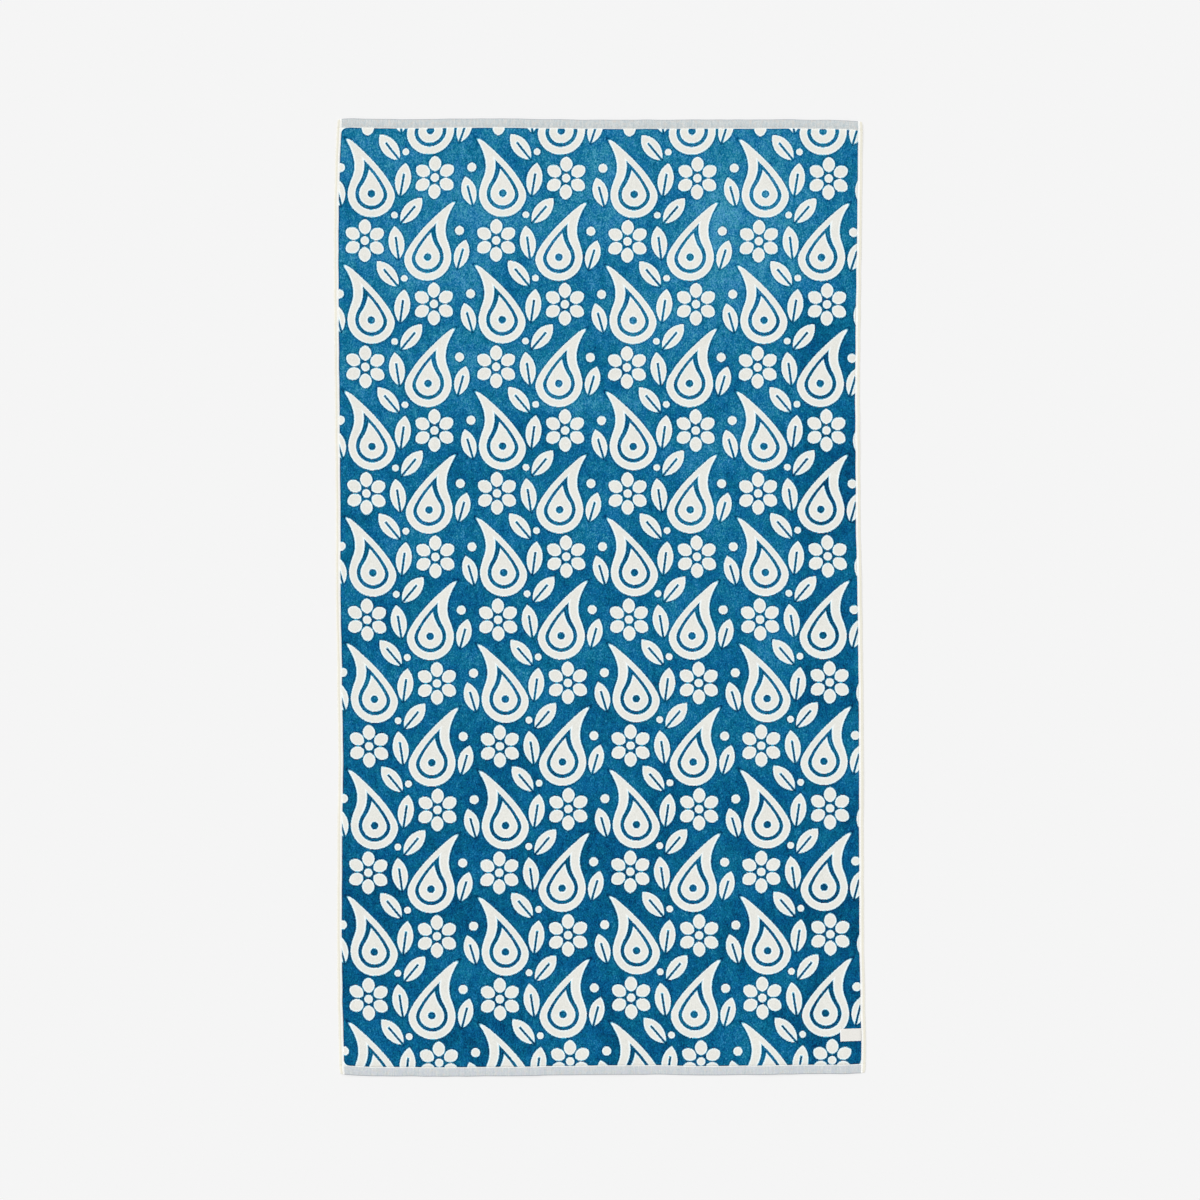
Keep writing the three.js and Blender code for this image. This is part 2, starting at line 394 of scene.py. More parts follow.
def pile_sheen_and_grain():
    """How the cut pile takes the light, painted: patches and dabs of sheen and shade where it is brushed
    over, and a grain of tufts that differ in tone.
    """
    takes = [("Place", "Vector"), ("Tuft", "Vector")]
    gives = [(name, "Float") for name in ("Patches", "Dabs", "Grain", "Hue", "Relief")]
    tree, ins, outs = new_group("pile_sheen_and_grain", takes, gives)
    place = ins["Place"]

    def brushed(layer, onto=0.0):
        """A layer added onto another: noise about 0, drawn out along the layer's heading."""
        size, heading, stretch, detail, strength = layer
        turn = (0, 0, math.radians(heading))
        inputs = {"Vector": place, "Rotation": turn, "Scale": (1.0, 1.0 / stretch, 1.0)}
        drawn_out = put(tree, "Mapping", inputs).outputs[0]
        uneven = maths(tree, "SUBTRACT", noise(tree, drawn_out, size, detail, NAP_ROUGHNESS), 0.5)
        return maths(tree, "MULTIPLY_ADD", uneven, strength, onto)

    feed(tree, brushed(PATCHES, brushed(BROAD_PATCHES)), outs["Patches"])
    feed(tree, brushed(DABS, brushed(STROKES)), outs["Dabs"])
    tones = maths(tree, "MULTIPLY_ADD", speckle(tree, ins["Tuft"]), TUFT_TONES, -TUFT_TONES / 2)
    feed(tree, brushed(FINE_NAP, tones), outs["Grain"])

    # Each tuft has its own dye, and broad batches of them lean to green or to violet together
    dyes = speckle(tree, vectors(tree, "ADD", ins["Tuft"], OTHER_DRAW))
    dyes = maths(tree, "MULTIPLY_ADD", dyes, TUFT_DYES, -TUFT_DYES / 2)
    feed(tree, maths(tree, "ADD", dyes, patches(tree, place, DYE_BATCHES)), outs["Hue"])

    lumps = maths(tree, "MULTIPLY", noise(tree, place, 6.0, 2.0, NAP_ROUGHNESS), 0.6)
    tips = noise(tree, place, 1.5, 1.0, NAP_ROUGHNESS)
    feed(tree, maths(tree, "MULTIPLY_ADD", tips, 0.4, lumps), outs["Relief"])
    return tree


# Flat ribs: how they stray, how high ribs and picks stand, and how long a slub of yarn is
RIB_STRAY = {"size": 7.0, "far": 0.5}
RIB_RELIEF = 0.35
PICK_RELIEF = 0.12
SLUB_LENGTH = 4.0


def ribbed_weave():
    """Flat ribs of warp yarn along Y, crossed by finer weft: relief, and how the yarns differ in tone."""
    takes = [("Place", "Vector"), ("Rib", "Float"), ("Pick", "Float")]
    gives = [("Relief", "Float"), ("Tone", "Float")]
    tree, ins, outs = new_group("ribbed_weave", takes, gives)
    place = axes(tree, ins["Place"])
    stray = noise(tree, ins["Place"], RIB_STRAY["size"])
    strayed = maths(tree, "MULTIPLY_ADD", stray, RIB_STRAY["far"], place["X"])
    rib = maths(tree, "DIVIDE", strayed, ins["Rib"])
    pick = maths(tree, "DIVIDE", place["Y"], ins["Pick"])
    rib_wave = maths(tree, "SINE", maths(tree, "MULTIPLY", rib, 2 * math.pi))
    pick_wave = maths(tree, "SINE", maths(tree, "MULTIPLY", pick, 2 * math.pi))
    relief = maths(tree, "MULTIPLY_ADD", rib_wave, RIB_RELIEF, 0.5)
    feed(tree, maths(tree, "MULTIPLY_ADD", pick_wave, PICK_RELIEF, relief), outs["Relief"])
    yarn = put(tree, "CombineXYZ", {"X": maths(tree, "FLOOR", rib)}).outputs[0]
    cross = maths(tree, "FLOOR", maths(tree, "DIVIDE", place["Y"], SLUB_LENGTH))
    slub = put(tree, "CombineXYZ", {"X": maths(tree, "FLOOR", rib), "Y": cross}).outputs[0]
    tone = maths(tree, "MULTIPLY", speckle(tree, yarn), 0.6)
    feed(tree, maths(tree, "MULTIPLY_ADD", speckle(tree, slub), 0.4, tone), outs["Tone"])
    return tree


# Dyed yarns, named as they look in the soft light
# The blue pile's colours, from painted shade to painted sheen
BLUE_SHADE_TO_SHEEN = [
    (0.0, dyed(0, 48, 86)),
    (0.33, dyed(0, 85, 128)),
    (0.62, dyed(14, 117, 160)),
    (1.0, dyed(90, 170, 204)),
]
CREAM_DIM = dyed(214, 214, 206)
CREAM = dyed(250, 250, 245)
CREAM_LIT = dyed(255, 255, 252)
# Painted highlight along the cream's rim
CREAM_RIM_HIGHLIGHT = dyed(248, 255, 255)
MINGLED = dyed(72, 172, 202)
CAST_GREEN = (1.0, 1.075, 0.935, 1.0)
CAST_VIOLET = (1.0, 0.925, 1.065, 1.0)
HEM_PALE = dyed(228, 230, 228)
HEM_BLUE = dyed(186, 198, 203)
HEM_WARM = dyed(217, 208, 199)
HEM_GREY = dyed(205, 208, 219)
HEM_FOLD_GREY_AND_SHADE = dyed(150, 154, 162)
SELVEDGE = dyed(246, 244, 236)
SELVEDGE_WARM = dyed(237, 233, 217)
THREAD = dyed(242, 242, 238)
TAPE = dyed(239, 237, 232)
TAPE_DIM = dyed(222, 220, 213)
TAPE_BRIGHT = dyed(255, 255, 255)

# Bands along a motif's edge: (from, to), where the motif's inside is negative
# Painted shade on the blue pile beside a motif, and how deep it is
SHADED_BESIDE = (0.8, 2.6)
MINGLED_BESIDE = (0.0, 0.25)
MINGLED_INSIDE = (-1.0, -0.3)
# Painted highlight along the cream's rim, inside a motif
HIGHLIGHT_RIM_INSIDE = (-3.4, -1.4)
SHADE_BESIDE_DEPTH = -0.38

# Bands of the hems and of the tape, in from the fold: (from, to)
END_FOLD_BAND = (0.4, 1.5)
END_INNER_BAND = (END_HEM_EDGE - 1.5, END_HEM_EDGE - 0.8)
SIDE_OUTER_BAND = (1.2, 2.8)
SIDE_INNER_BAND = (4.4, 5.6)
FOOT_BAND = (20.0, 60.0)
TAPE_LIT_BAND = (0.8, 2.4)

# What makes the end hems' weave bluer in places, and how much of it stays pale
END_WEAVE = {"streaks": 0.42, "flecks": 1.7, "yarns": 0.3, "pale": 0.62}
STREAK_STRETCH = (1.0, 0.16, 1.0)

# Patches in the end hems: (size, detail, roughness, from, to, strength)
STREAKS = (3.0, 2.0, 0.7, 0.3, 0.7, 1.0)
WARM_PATCHES = (7.0, 3.0, 0.7, 0.45, 0.75, 0.7)
GREY_BLOTCHES = (9.0, 3.0, 0.6, 0.4, 0.65, 0.6)


def shaded_blue(tree, shade):
    """Blue pile, painted from shade where it lies away from the light to sheen where it lies towards it."""
    node = put(tree, "ValToRGB", {0: shade})
    stops = node.color_ramp.elements
    for place, colour in BLUE_SHADE_TO_SHEEN[1:-1]:
        stops.new(place)
    for stop, (place, colour) in zip(stops, BLUE_SHADE_TO_SHEEN):
        stop.position = place
        stop.color = colour
    return node.outputs["Color"]


def cut_pile_face(design, pile):
    """The face: blue and cream velour."""
    material, tree, shader = new_material(
        "cut_pile_face", Roughness=0.9, Sheen_Weight=0.02, Sheen_Roughness=0.5, Specular_IOR_Level=0.05
    )
    place = cloth_place(tree)
    woven = placed(tree, design, {"Place": place})
    nap = placed(tree, pile, {"Place": place, "Tuft": woven["Tuft"]})
    # Painted sheen and painted shade of the way the pile lies, from the mesh
    painted_sheen = put(tree, "Attribute", attribute_name="nap_sheen").outputs["Fac"]

    # At the two left corners the pile stops short, in an arc. Measured from the middle of the right
    # edge, these two corners are one.
    from_middle = vectors(tree, "SUBTRACT", place, (FLAT_WIDTH, FLAT_LENGTH / 2, 0))
    from_middle = vectors(tree, "ABSOLUTE", from_middle)
    corner = (FLAT_WIDTH - PILE_CORNER[0], PILE_CORNER[1], 0)
    outward = vectors(tree, "MAXIMUM", vectors(tree, "SUBTRACT", from_middle, corner), (0, 0, 0))
    past_arc = maths(tree, "SUBTRACT", PILE_CORNER_RADIUS, vectors(tree, "LENGTH", outward))
    distance = maths(tree, "MINIMUM", woven["Distance"], past_arc)

    uneven = maths(tree, "ADD", nap["Patches"], nap["Dabs"])
    shade = maths(tree, "ADD", maths(tree, "ADD", painted_sheen, uneven), nap["Grain"])
    # Painted shade: the blue pile is darker beside a motif, where the cream tufts shade it
    shade_beside = eased_range(tree, distance, *SHADED_BESIDE, SHADE_BESIDE_DEPTH, 0.0)
    blue = shaded_blue(tree, maths(tree, "ADD", shade, shade_beside))
    cast = blended(tree, nap["Hue"], CAST_VIOLET, CAST_GREEN)
    blue = blended(tree, 1.0, blue, cast, "MULTIPLY")
    mingled = eased_range(tree, distance, *MINGLED_BESIDE, 1.0, 0.0)
    blue = blended(tree, mingled, blue, MINGLED)

    # Cream is brightest along its rim, a painted highlight where its open tufts catch the light, and right at
    # the edge tufts of both colours mingle
    tone = maths(tree, "MULTIPLY_ADD", nap["Grain"], 0.7, 0.48)
    tone = maths(tree, "MULTIPLY_ADD", uneven, 0.5, tone, clamp=True)
    cream = blended(tree, tone, CREAM_DIM, CREAM)
    cream = blended(tree, eased_range(tree, distance, *HIGHLIGHT_RIM_INSIDE), cream, CREAM_RIM_HIGHLIGHT)
    cream = blended(tree, eased_range(tree, distance, *MINGLED_INSIDE), cream, MINGLED)

    in_motif = maths(tree, "LESS_THAN", distance, 0.0)
    finished(tree, shader, blended(tree, in_motif, blue, cream), nap["Relief"], strength=0.6, depth=1.1)
    return material


def uncut_loop_back(design, pile):
    """The back: uncut loops, with the two colours changed over."""
    material, tree, shader = new_material(
        "uncut_loop_back", Roughness=0.95, Sheen_Weight=0.12, Sheen_Roughness=0.5, Specular_IOR_Level=0.15
    )
    place = cloth_place(tree)
    woven = placed(tree, design, {"Place": place})
    nap = placed(tree, pile, {"Place": place, "Tuft": woven["Tuft"]})
    # Each loop is lighter on its top and darker between loops: painted highlight and painted shade of the
    # loops' relief
    lean = put(tree, "TexVoronoi", {"Vector": place, "Scale": 0.42, "Randomness": 0.7})
    loop = eased_range(tree, lean.outputs["Distance"], 0.15, 0.75, 1.0, 0.0)
    blue = shaded_blue(tree, maths(tree, "MULTIPLY_ADD", loop, 0.4, maths(tree, "ADD", nap["Dabs"], 0.2)))
    cream = blended(tree, loop, CREAM_DIM, CREAM_LIT)
    in_motif = maths(tree, "LESS_THAN", woven["Distance"], 0.0)
    finished(tree, shader, blended(tree, in_motif, cream, blue), loop, strength=0.7, depth=1.0)
    return material


def flat_end_hem(ribs):
    """The ends: flat weave of pale yarn over blue, with ribs that run to the edge."""
    material, tree, shader = new_material(
        "flat_end_hem", Roughness=0.85, Sheen_Weight=0.08, Specular_IOR_Level=0.2
    )
    place = cloth_place(tree)
    weave = placed(tree, ribs, {"Place": place, "Rib": 1.9, "Pick": 0.9})
    along = axes(tree, place)["Y"]
    from_end = maths(tree, "MINIMUM", along, maths(tree, "SUBTRACT", FLAT_LENGTH, along))
    drawn_out = put(tree, "Mapping", {"Vector": place, "Scale": STREAK_STRETCH}).outputs[0]
    streaks = patches(tree, drawn_out, STREAKS)
    flecks = noise(tree, place, 2.8, 2.0, 0.8)
    tone = maths(tree, "MULTIPLY", weave["Tone"], END_WEAVE["yarns"])
    tone = maths(tree, "MULTIPLY_ADD", streaks, END_WEAVE["streaks"], tone)
    tone = maths(tree, "MULTIPLY_ADD", flecks, END_WEAVE["flecks"], tone)
    tone = maths(tree, "SUBTRACT", tone, END_WEAVE["pale"], clamp=True)
    colour = blended(tree, tone, HEM_PALE, HEM_BLUE)
    colour = blended(tree, patches(tree, place, WARM_PATCHES), colour, HEM_WARM)

    # The hem at the foot, the end by the label, is greyer in blotches
    at_foot = eased_range(tree, along, *FOOT_BAND, 1.0, 0.0)
    greyer = maths(tree, "MULTIPLY", at_foot, patches(tree, place, GREY_BLOTCHES))
    colour = blended(tree, greyer, colour, HEM_GREY)

    # Along the fold it is darker: painted shade where the fold turns down, over a greyer line of its own.
    # Along the pile the turned-in layer ends
    fold = eased_range(tree, from_end, *END_FOLD_BAND, 0.85, 0.0)
    colour = blended(tree, fold, colour, HEM_FOLD_GREY_AND_SHADE)
    colour = blended(tree, eased_range(tree, from_end, *END_INNER_BAND), colour, CREAM_LIT)
    finished(tree, shader, colour, weave["Relief"], strength=0.6, depth=0.35)
    return material


def turned_side_hem(ribs):
    """The long edges: cream flat weave, turned in."""
    material, tree, shader = new_material(
        "turned_side_hem", Roughness=0.85, Sheen_Weight=0.1, Specular_IOR_Level=0.2
    )
    place = cloth_place(tree)
    swapped = put(tree, "VectorRotate", {"Vector": place, "Angle": math.pi / 2}, rotation_type="Z_AXIS")
    weave = placed(tree, ribs, {"Place": swapped.outputs[0], "Rib": 1.7, "Pick": 1.1})
    across = axes(tree, place)["X"]
    from_side = maths(tree, "MINIMUM", across, maths(tree, "SUBTRACT", FLAT_WIDTH, across))
    outer = eased_range(tree, from_side, *SIDE_OUTER_BAND, 0.0, 0.75)
    tone = maths(tree, "MULTIPLY_ADD", weave["Tone"], 0.4, outer, clamp=True)
    colour = blended(tree, tone, SELVEDGE, SELVEDGE_WARM)
    colour = blended(tree, eased_range(tree, from_side, *SIDE_INNER_BAND), colour, CREAM_LIT)
    finished(tree, shader, colour, weave["Relief"], strength=0.5, depth=0.35)
    return material


def sewing_thread():
    """Two-ply thread, off-white."""
    material, tree, shader = new_material("sewing_thread", Roughness=0.7, Sheen_Weight=0.1)
    where = scaled(tree, put(tree, "TexCoord").outputs["Object"], 1.0 / MM)
    twist = {"Vector": where, "Scale": 0.9, "Distortion": 1.0}
    ply = put(tree, "TexWave", twist, bands_direction="DIAGONAL").outputs["Fac"]
    colour = blended(tree, maths(tree, "MULTIPLY", ply, 0.3), THREAD, TAPE_DIM)
    finished(tree, shader, colour, ply, strength=0.5, depth=0.1)
    return material


def woven_tape(ribs):
    """Smooth white tape in a fine twill."""
    material, tree, shader = new_material(
        "woven_tape", Roughness=0.6, Sheen_Weight=0.1, Specular_IOR_Level=0.3
    )
    place = cloth_place(tree)
    slanted = put(tree, "VectorRotate", {"Vector": place, "Angle": 0.9}, rotation_type="Z_AXIS")
    twill = placed(tree, ribs, {"Place": slanted.outputs[0], "Rib": 0.55, "Pick": 0.5})
    soft = noise(tree, place, 6.0, 3.0)
    tone = maths(tree, "MULTIPLY_ADD", soft, 0.5, maths(tree, "MULTIPLY", twill["Tone"], 0.3))
    colour = blended(tree, maths(tree, "MULTIPLY", tone, 0.5), TAPE, TAPE_DIM)

    # The fold at its far end and the lower edge stand up a little and catch the light
    spot = axes(tree, place)
    from_fold = maths(tree, "ABSOLUTE", maths(tree, "SUBTRACT", spot["Y"], LABEL_LENGTH))
    from_edge = maths(tree, "ADD", spot["X"], LABEL_WIDTH / 2)
    nearer = maths(tree, "MINIMUM", from_fold, from_edge)
    lit = eased_range(tree, nearer, *TAPE_LIT_BAND, 0.85, 0.0)
    finished(tree, shader, blended(tree, lit, colour, TAPE_BRIGHT), twill["Relief"], strength=0.5, depth=0.15)
    return material


# How far each edge lies inside the laid box, at places along it: (place, inset)
LEFT_INSET = [
    (-866, 11.0),
    (-812, 9.4),
    (-727, 7.0),
    (-600, 6.0),
    (-450, 6.8),
    (-293, 8.4),
    (-150, 6.4),
    (0, 4.0),
    (140, 3.6),
    (300, 2.2),
    (465, 1.1),
    (620, 0.0),
    (700, 0.4),
    (791, 2.7),
    (866, 6.4),
]
RIGHT_INSET = [
    (-866, 0.8),
    (-818, 0.0),
    (-727, 1.7),
    (-619, 3.6),
    (-400, 4.3),
    (-185, 4.6),
    (-77, 5.8),
    (32, 7.8),
    (140, 10.0),
    (357, 11.2),
    (465, 10.5),
    (574, 9.2),
    (682, 7.4),
    (791, 6.2),
    (866, 6.0),
]
TOP_INSET = [
    (-481, 1.8),
    (-452, 0.1),
    (-362, 1.8),
    (-260, 0.2),
    (-181, 0.0),
    (-80, 1.9),
    (45, 2.6),
    (180, 2.0),
    (361, 2.0),
    (430, 2.9),
    (481, 5.4),
]
BOTTOM_INSET = [
    (-481, 3.8),
    (-416, 0.7),
    (-290, 0.0),
    (-181, 0.7),
    (-91, 2.3),
    (20, 3.9),
    (90, 3.8),
    (190, 2.2),
    (271, 3.1),
    (361, 4.7),
    (440, 4.8),
    (481, 6.6),
]

# Where the cloth lifts a little off the floor: (x, y, turn, half length, half width, height)
RIPPLES = [
    (-362, 866, 90, 170, 62, 2.2),
    (-110, 866, 96, 120, 70, 1.8),
    (60, 870, 84, 190, 80, 2.2),
    (330, 866, 92, 130, 75, 1.9),
    (492, 880, 35, 120, 95, 2.8),
    (-492, 876, -38, 90, 70, 2.2),
    (-130, -866, 88, 140, 60, 1.8),
    (24, -870, 95, 200, 72, 2.2),
    (318, -866, 86, 150, 64, 2.0),
    (-486, -872, 40, 110, 80, 2.4),
    (474, 300, 4, 120, 90, 2.4),
    (470, 20, -6, 90, 70, 1.6),
    (472, -330, 5, 110, 84, 2.0),
    (-480, 470, -4, 100, 80, 2.0),
    (-478, 60, 6, 130, 90, 2.4),
    (-478, -420, -5, 95, 76, 1.8),
    (150, 520, 64, 210, 90, 1.8),
    (-170, 230, 18, 240, 80, 1.5),
    (120, -180, -24, 230, 90, 1.7),
    (-210, -520, 40, 200, 85, 1.6),
]

# Painted sheen and painted shade where the pile is brushed over and lies towards the light or away from it:
# (x, y, turn, half length, half width, lighter)
BRUSHED_SHEEN = [
    (250, 690, 10, 190, 120, 0.16),
    (170, 545, 20, 200, 110, 0.10),
    (-200, 715, -6, 130, 80, 0.09),
    (-290, 560, 20, 170, 110, 0.06),
    (-20, 352, 2, 330, 26, 0.11),
    (-390, 318, 8, 90, 22, 0.08),
    (195, 265, 80, 130, 80, 0.08),
    (190, 148, 5, 110, 50, 0.16),
    (290, 70, 75, 140, 60, 0.07),
    (300, -115, 86, 140, 50, 0.12),
    (145, -210, 10, 60, 45, 0.09),
    (-110, -430, 5, 280, 110, -0.07),
    (-370, -500, 60, 200, 130, -0.05),
    (-75, -548, 6, 80, 36, 0.12),
    (-308, -572, 80, 75, 32, 0.10),
    (-118, -690, 70, 60, 28, 0.08),
    (190, -754, 10, 70, 52, 0.18),
    (324, -700, 25, 90, 50, 0.14),
    (260, -810, 5, 130, 70, 0.09),
    (232, -530, 30, 90, 65, 0.07),
    (-448, -655, 88, 120, 55, -0.08),
]
# Painted sheen of the whole pile, as its tufts lie, from the bottom of the towel to the top: (y, lighter)
SHEEN_ALONG = [
    (-866, 0.385),
    (-700, 0.375),
    (-450, 0.385),
    (-130, 0.465),
    (200, 0.485),
    (460, 0.555),
    (640, 0.595),
    (866, 0.605),
]
# Right of an old fold the pile lies over another way, painted as shade, with a little sheen in places: (y,
# lighter)
OLD_FOLD_X = (352, 372)
SHADE_BEYOND_FOLD = [
    (-866, -0.07),
    (-560, -0.09),
    (-420, -0.04),
    (-330, 0.04),
    (-250, 0.02),
    (-170, -0.10),
    (-80, -0.12),
    (0, -0.07),
    (120, -0.13),
    (330, -0.16),
    (500, -0.15),
    (580, -0.08),
    (680, -0.02),
    (866, 0.0),
]
# The painted sheen also drifts a little over the whole pile
SHEEN_DRIFT = {"lighter": 0.05, "size": 170}

# Sections in from the edge: (from edge, face, underside)
END_SECTION = [
    (0.0, 1.05, 0.95),
    (0.3, 1.6, 0.4),
    (0.8, 1.92, 0.1),
    (1.6, 2.0, 0.0),
    (8.0, 1.9, 0.0),
    (13.8, 2.0, 0.0),
    (14.5, 1.72, 0.0),
    (15.2, 2.0, 0.0),
    (15.8, 1.85, 0.0),
    (16.2, 1.2, 0.0),
    (16.7, 1.25, 0.0),
    (17.2, 2.3, 0.0),
    (18.1, 2.95, 0.0),
    (19.6, 3.2, 0.0),
]
SIDE_SECTION = [
    (0.0, 1.0, 0.9),
    (0.3, 1.4, 0.4),
    (0.9, 1.75, 0.1),
    (1.9, 2.05, 0.0),
    (3.2, 2.2, 0.0),
    (5.6, 2.15, 0.0),
    (6.3, 1.85, 0.0),
    (7.0, 2.2, 0.0),
    (7.6, 2.0, 0.0),
    (8.0, 1.3, 0.0),
    (8.5, 1.35, 0.0),
    (9.0, 2.4, 0.0),
    (9.8, 3.0, 0.0),
    (11.4, 3.2, 0.0),
]
# Where the rows of stitches lie, in from the edge, and the size of the mesh's cells in the pile
END_STITCH = 14.5
SIDE_STITCH = 6.3
PILE_CELL = 7.0

# The corners are tucked in a little, and the edges wave
CORNER_TUCK = 1.4
CORNER_REACH = 12.0
EDGE_WAVE = 0.3
EDGE_WAVE_SIZE = 46
EDGE_WAVE_REACH = 40.0

# Lumps of the pile: (height, size, seed). The pile starts above the hem's top, and the hem puckers.
PILE_LUMPS = [(0.16, 26, 11), (0.07, 12, 12)]
HEM_TOP = 2.2
PILE_RISE = 0.9
PUCKER = 0.16


def eased(table, at):
    """A table's second column at these places in its first, eased between its rows."""
    places, values = np.array(table, dtype=float).T
    after = np.clip(np.searchsorted(places, at), 1, len(places) - 1)
    t = np.clip((at - places[after - 1]) / (places[after] - places[after - 1]), 0, 1)
    return values[after - 1] + (values[after] - values[after - 1]) * t * t * (3 - 2 * t)


def swell(row, x, y):
    """An oval swell that fades to nothing at its half length and half width, from 0 to 1."""
    middle_x, middle_y, turn, long, wide = row[:5]
    c, s = math.cos(math.radians(turn)), math.sin(math.radians(turn))
    along = ((x - middle_x) * c + (y - middle_y) * s) / long
    across = ((y - middle_y) * c - (x - middle_x) * s) / wide
    return np.cos(math.pi / 2 * np.minimum(1, np.hypot(along, across))) ** 2


def lift(x, y):
    """How far the cloth stands off the floor."""
    return np.max([row[5] * swell(row, x, y) for row in RIPPLES], axis=0)


def waves(x, y, size, seed, count=24):
    """Smooth unevenness of about this size, from about -1 to 1, the same on each run."""
    draw = np.random.RandomState(seed)
    total = np.zeros(np.broadcast(x, y).shape)
    for _ in range(count):
        heading = draw.uniform(0, 2 * math.pi)
        length = size * draw.uniform(0.7, 1.8)
        start = draw.uniform(0, 2 * math.pi)
        total += np.cos((x * math.cos(heading) + y * math.sin(heading)) * 2 * math.pi / length + start)
    return total * math.sqrt(2 / count) * 0.6


def from_sides(across):
    """How far a place is from the nearer long edge."""
    return np.minimum(across, FLAT_WIDTH - across)


def from_ends(along):
    """How far a place is from the nearer end."""
    return np.minimum(along, FLAT_LENGTH - along)


def laid(across, along):
    """Where points of the flat cloth lie on the floor."""
    u, v = across / FLAT_WIDTH, along / FLAT_LENGTH
    straight_x, straight_y = (u - 0.5) * LAID_WIDTH, (v - 0.5) * LAID_LENGTH
    left = -LAID_WIDTH / 2 + eased(LEFT_INSET, straight_y)
    right = LAID_WIDTH / 2 - eased(RIGHT_INSET, straight_y)
    bottom = -LAID_LENGTH / 2 + eased(BOTTOM_INSET, straight_x)
    top = LAID_LENGTH / 2 - eased(TOP_INSET, straight_x)
    x, y = left + (right - left) * u, bottom + (top - bottom) * v
    corner = np.clip(1 - np.hypot(from_sides(across), from_ends(along)) / CORNER_REACH, 0, 1) ** 2
    x = x - np.sign(x) * CORNER_TUCK * corner
    y = y - np.sign(y) * CORNER_TUCK * corner
    edge = np.clip(1 - np.minimum(from_sides(across), from_ends(along)) / EDGE_WAVE_REACH, 0, 1)
    x = x + edge * EDGE_WAVE * waves(x * 0.2, y, EDGE_WAVE_SIZE, seed=3)
    y = y + edge * EDGE_WAVE * waves(x, y * 0.2, EDGE_WAVE_SIZE, seed=4)
    return x, y


def heights(across, along, x, y):
    """The heights of the face and the underside, with the pile's lumps and the pucker of the sewn hems."""
    end, side = np.array(END_SECTION).T, np.array(SIDE_SECTION).T
    d_end, d_side = from_ends(along), from_sides(across)
    face = np.minimum(np.interp(d_end, end[0], end[1]), np.interp(d_side, side[0], side[1]))
    under = np.maximum(np.interp(d_end, end[0], end[2]), np.interp(d_side, side[0], side[2]))
    piled = np.clip((face - HEM_TOP) / PILE_RISE, 0, 1)
    hemmed = np.clip(np.minimum(d_end, d_side) / 2, 0, 1) * (1 - piled)
    face = face + piled * sum(height * waves(x, y, size, seed) for height, size, seed in PILE_LUMPS)
    pucker = np.where(d_end < END_HEM_EDGE, waves(x, y * 0.3, 11, seed=13), waves(x * 0.3, y, 12, seed=14))
    face = face + hemmed * PUCKER * pucker
    raised = lift(x, y)
    return face + raised, under + raised


def stations(length, section, cell):
    """Grid lines along one side of the flat cloth."""
    near = [row[0] for row in section]
    cells = round((length - 2 * near[-1]) / cell)
    middle = np.linspace(near[-1], length - near[-1], cells + 1)[1:-1]
    return np.array([*near, *middle, *(length - d for d in reversed(near))])


